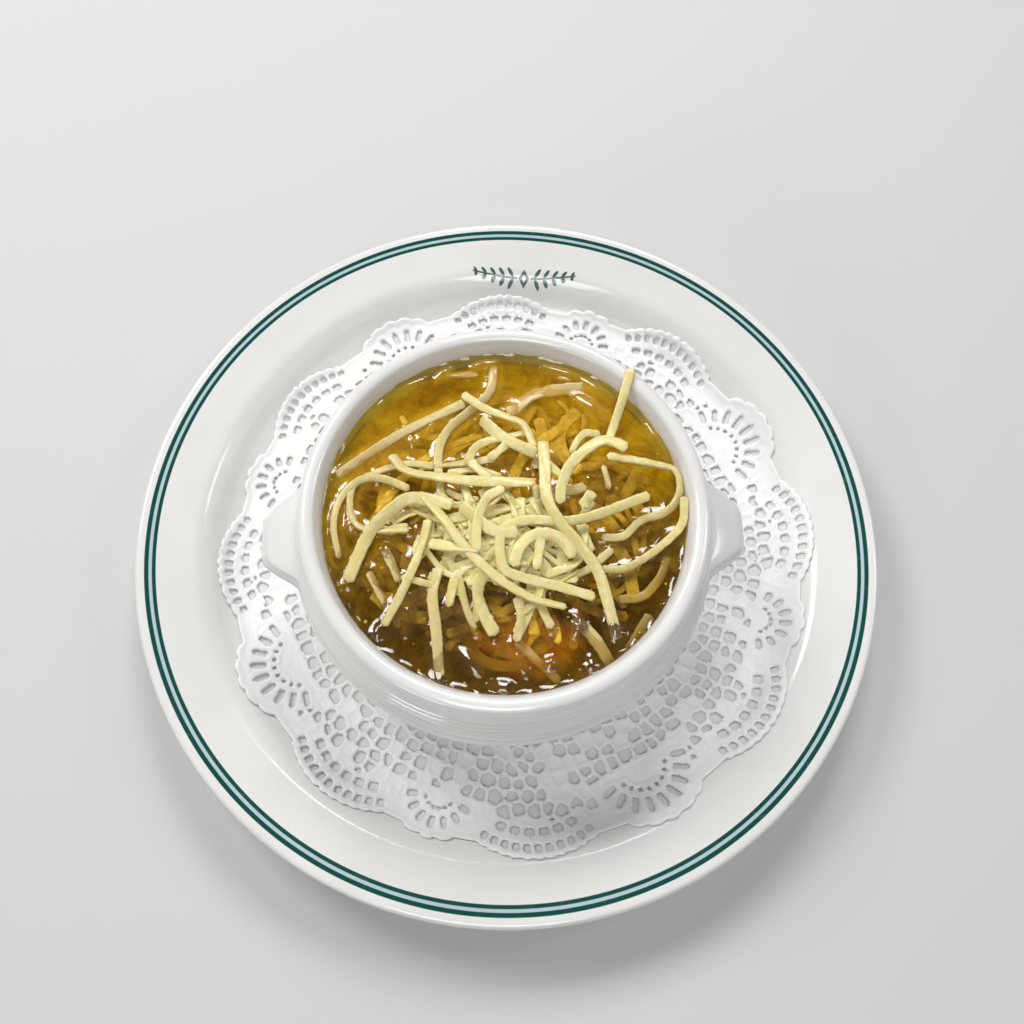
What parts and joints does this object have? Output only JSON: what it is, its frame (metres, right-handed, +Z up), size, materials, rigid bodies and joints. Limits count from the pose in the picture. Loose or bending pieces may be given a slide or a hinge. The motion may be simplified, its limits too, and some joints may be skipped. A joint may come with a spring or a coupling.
{
  "type": "onion soup in a bowl",
  "caption": "Onion soup topped with melted cheese in a white bowl with lug handles, on a lace paper doily and a rimmed underplate.",
  "frame": {"origin": "on the table under the middle of the underplate", "axes": "+Z up, the bowl's handles along X"},
  "size_m": [0.2658, 0.266, 0.0696],
  "materials": {
    "plate_glaze": "white glaze with two fine green lines and a pale tint between them near the rim",
    "doily_paper": "matt white embossed paper lace",
    "bowl_glaze": "white glaze",
    "broth": "clear amber broth, wet and glossy",
    "cheese": "pale yellow melted shreds, slightly glossy"
  },
  "bodies": {
    "root": {"underplate": "plate_glaze", "doily": "doily_paper", "bowl": "bowl_glaze", "broth": "broth", "cheese": "cheese"}
  },
  "joints": []
}
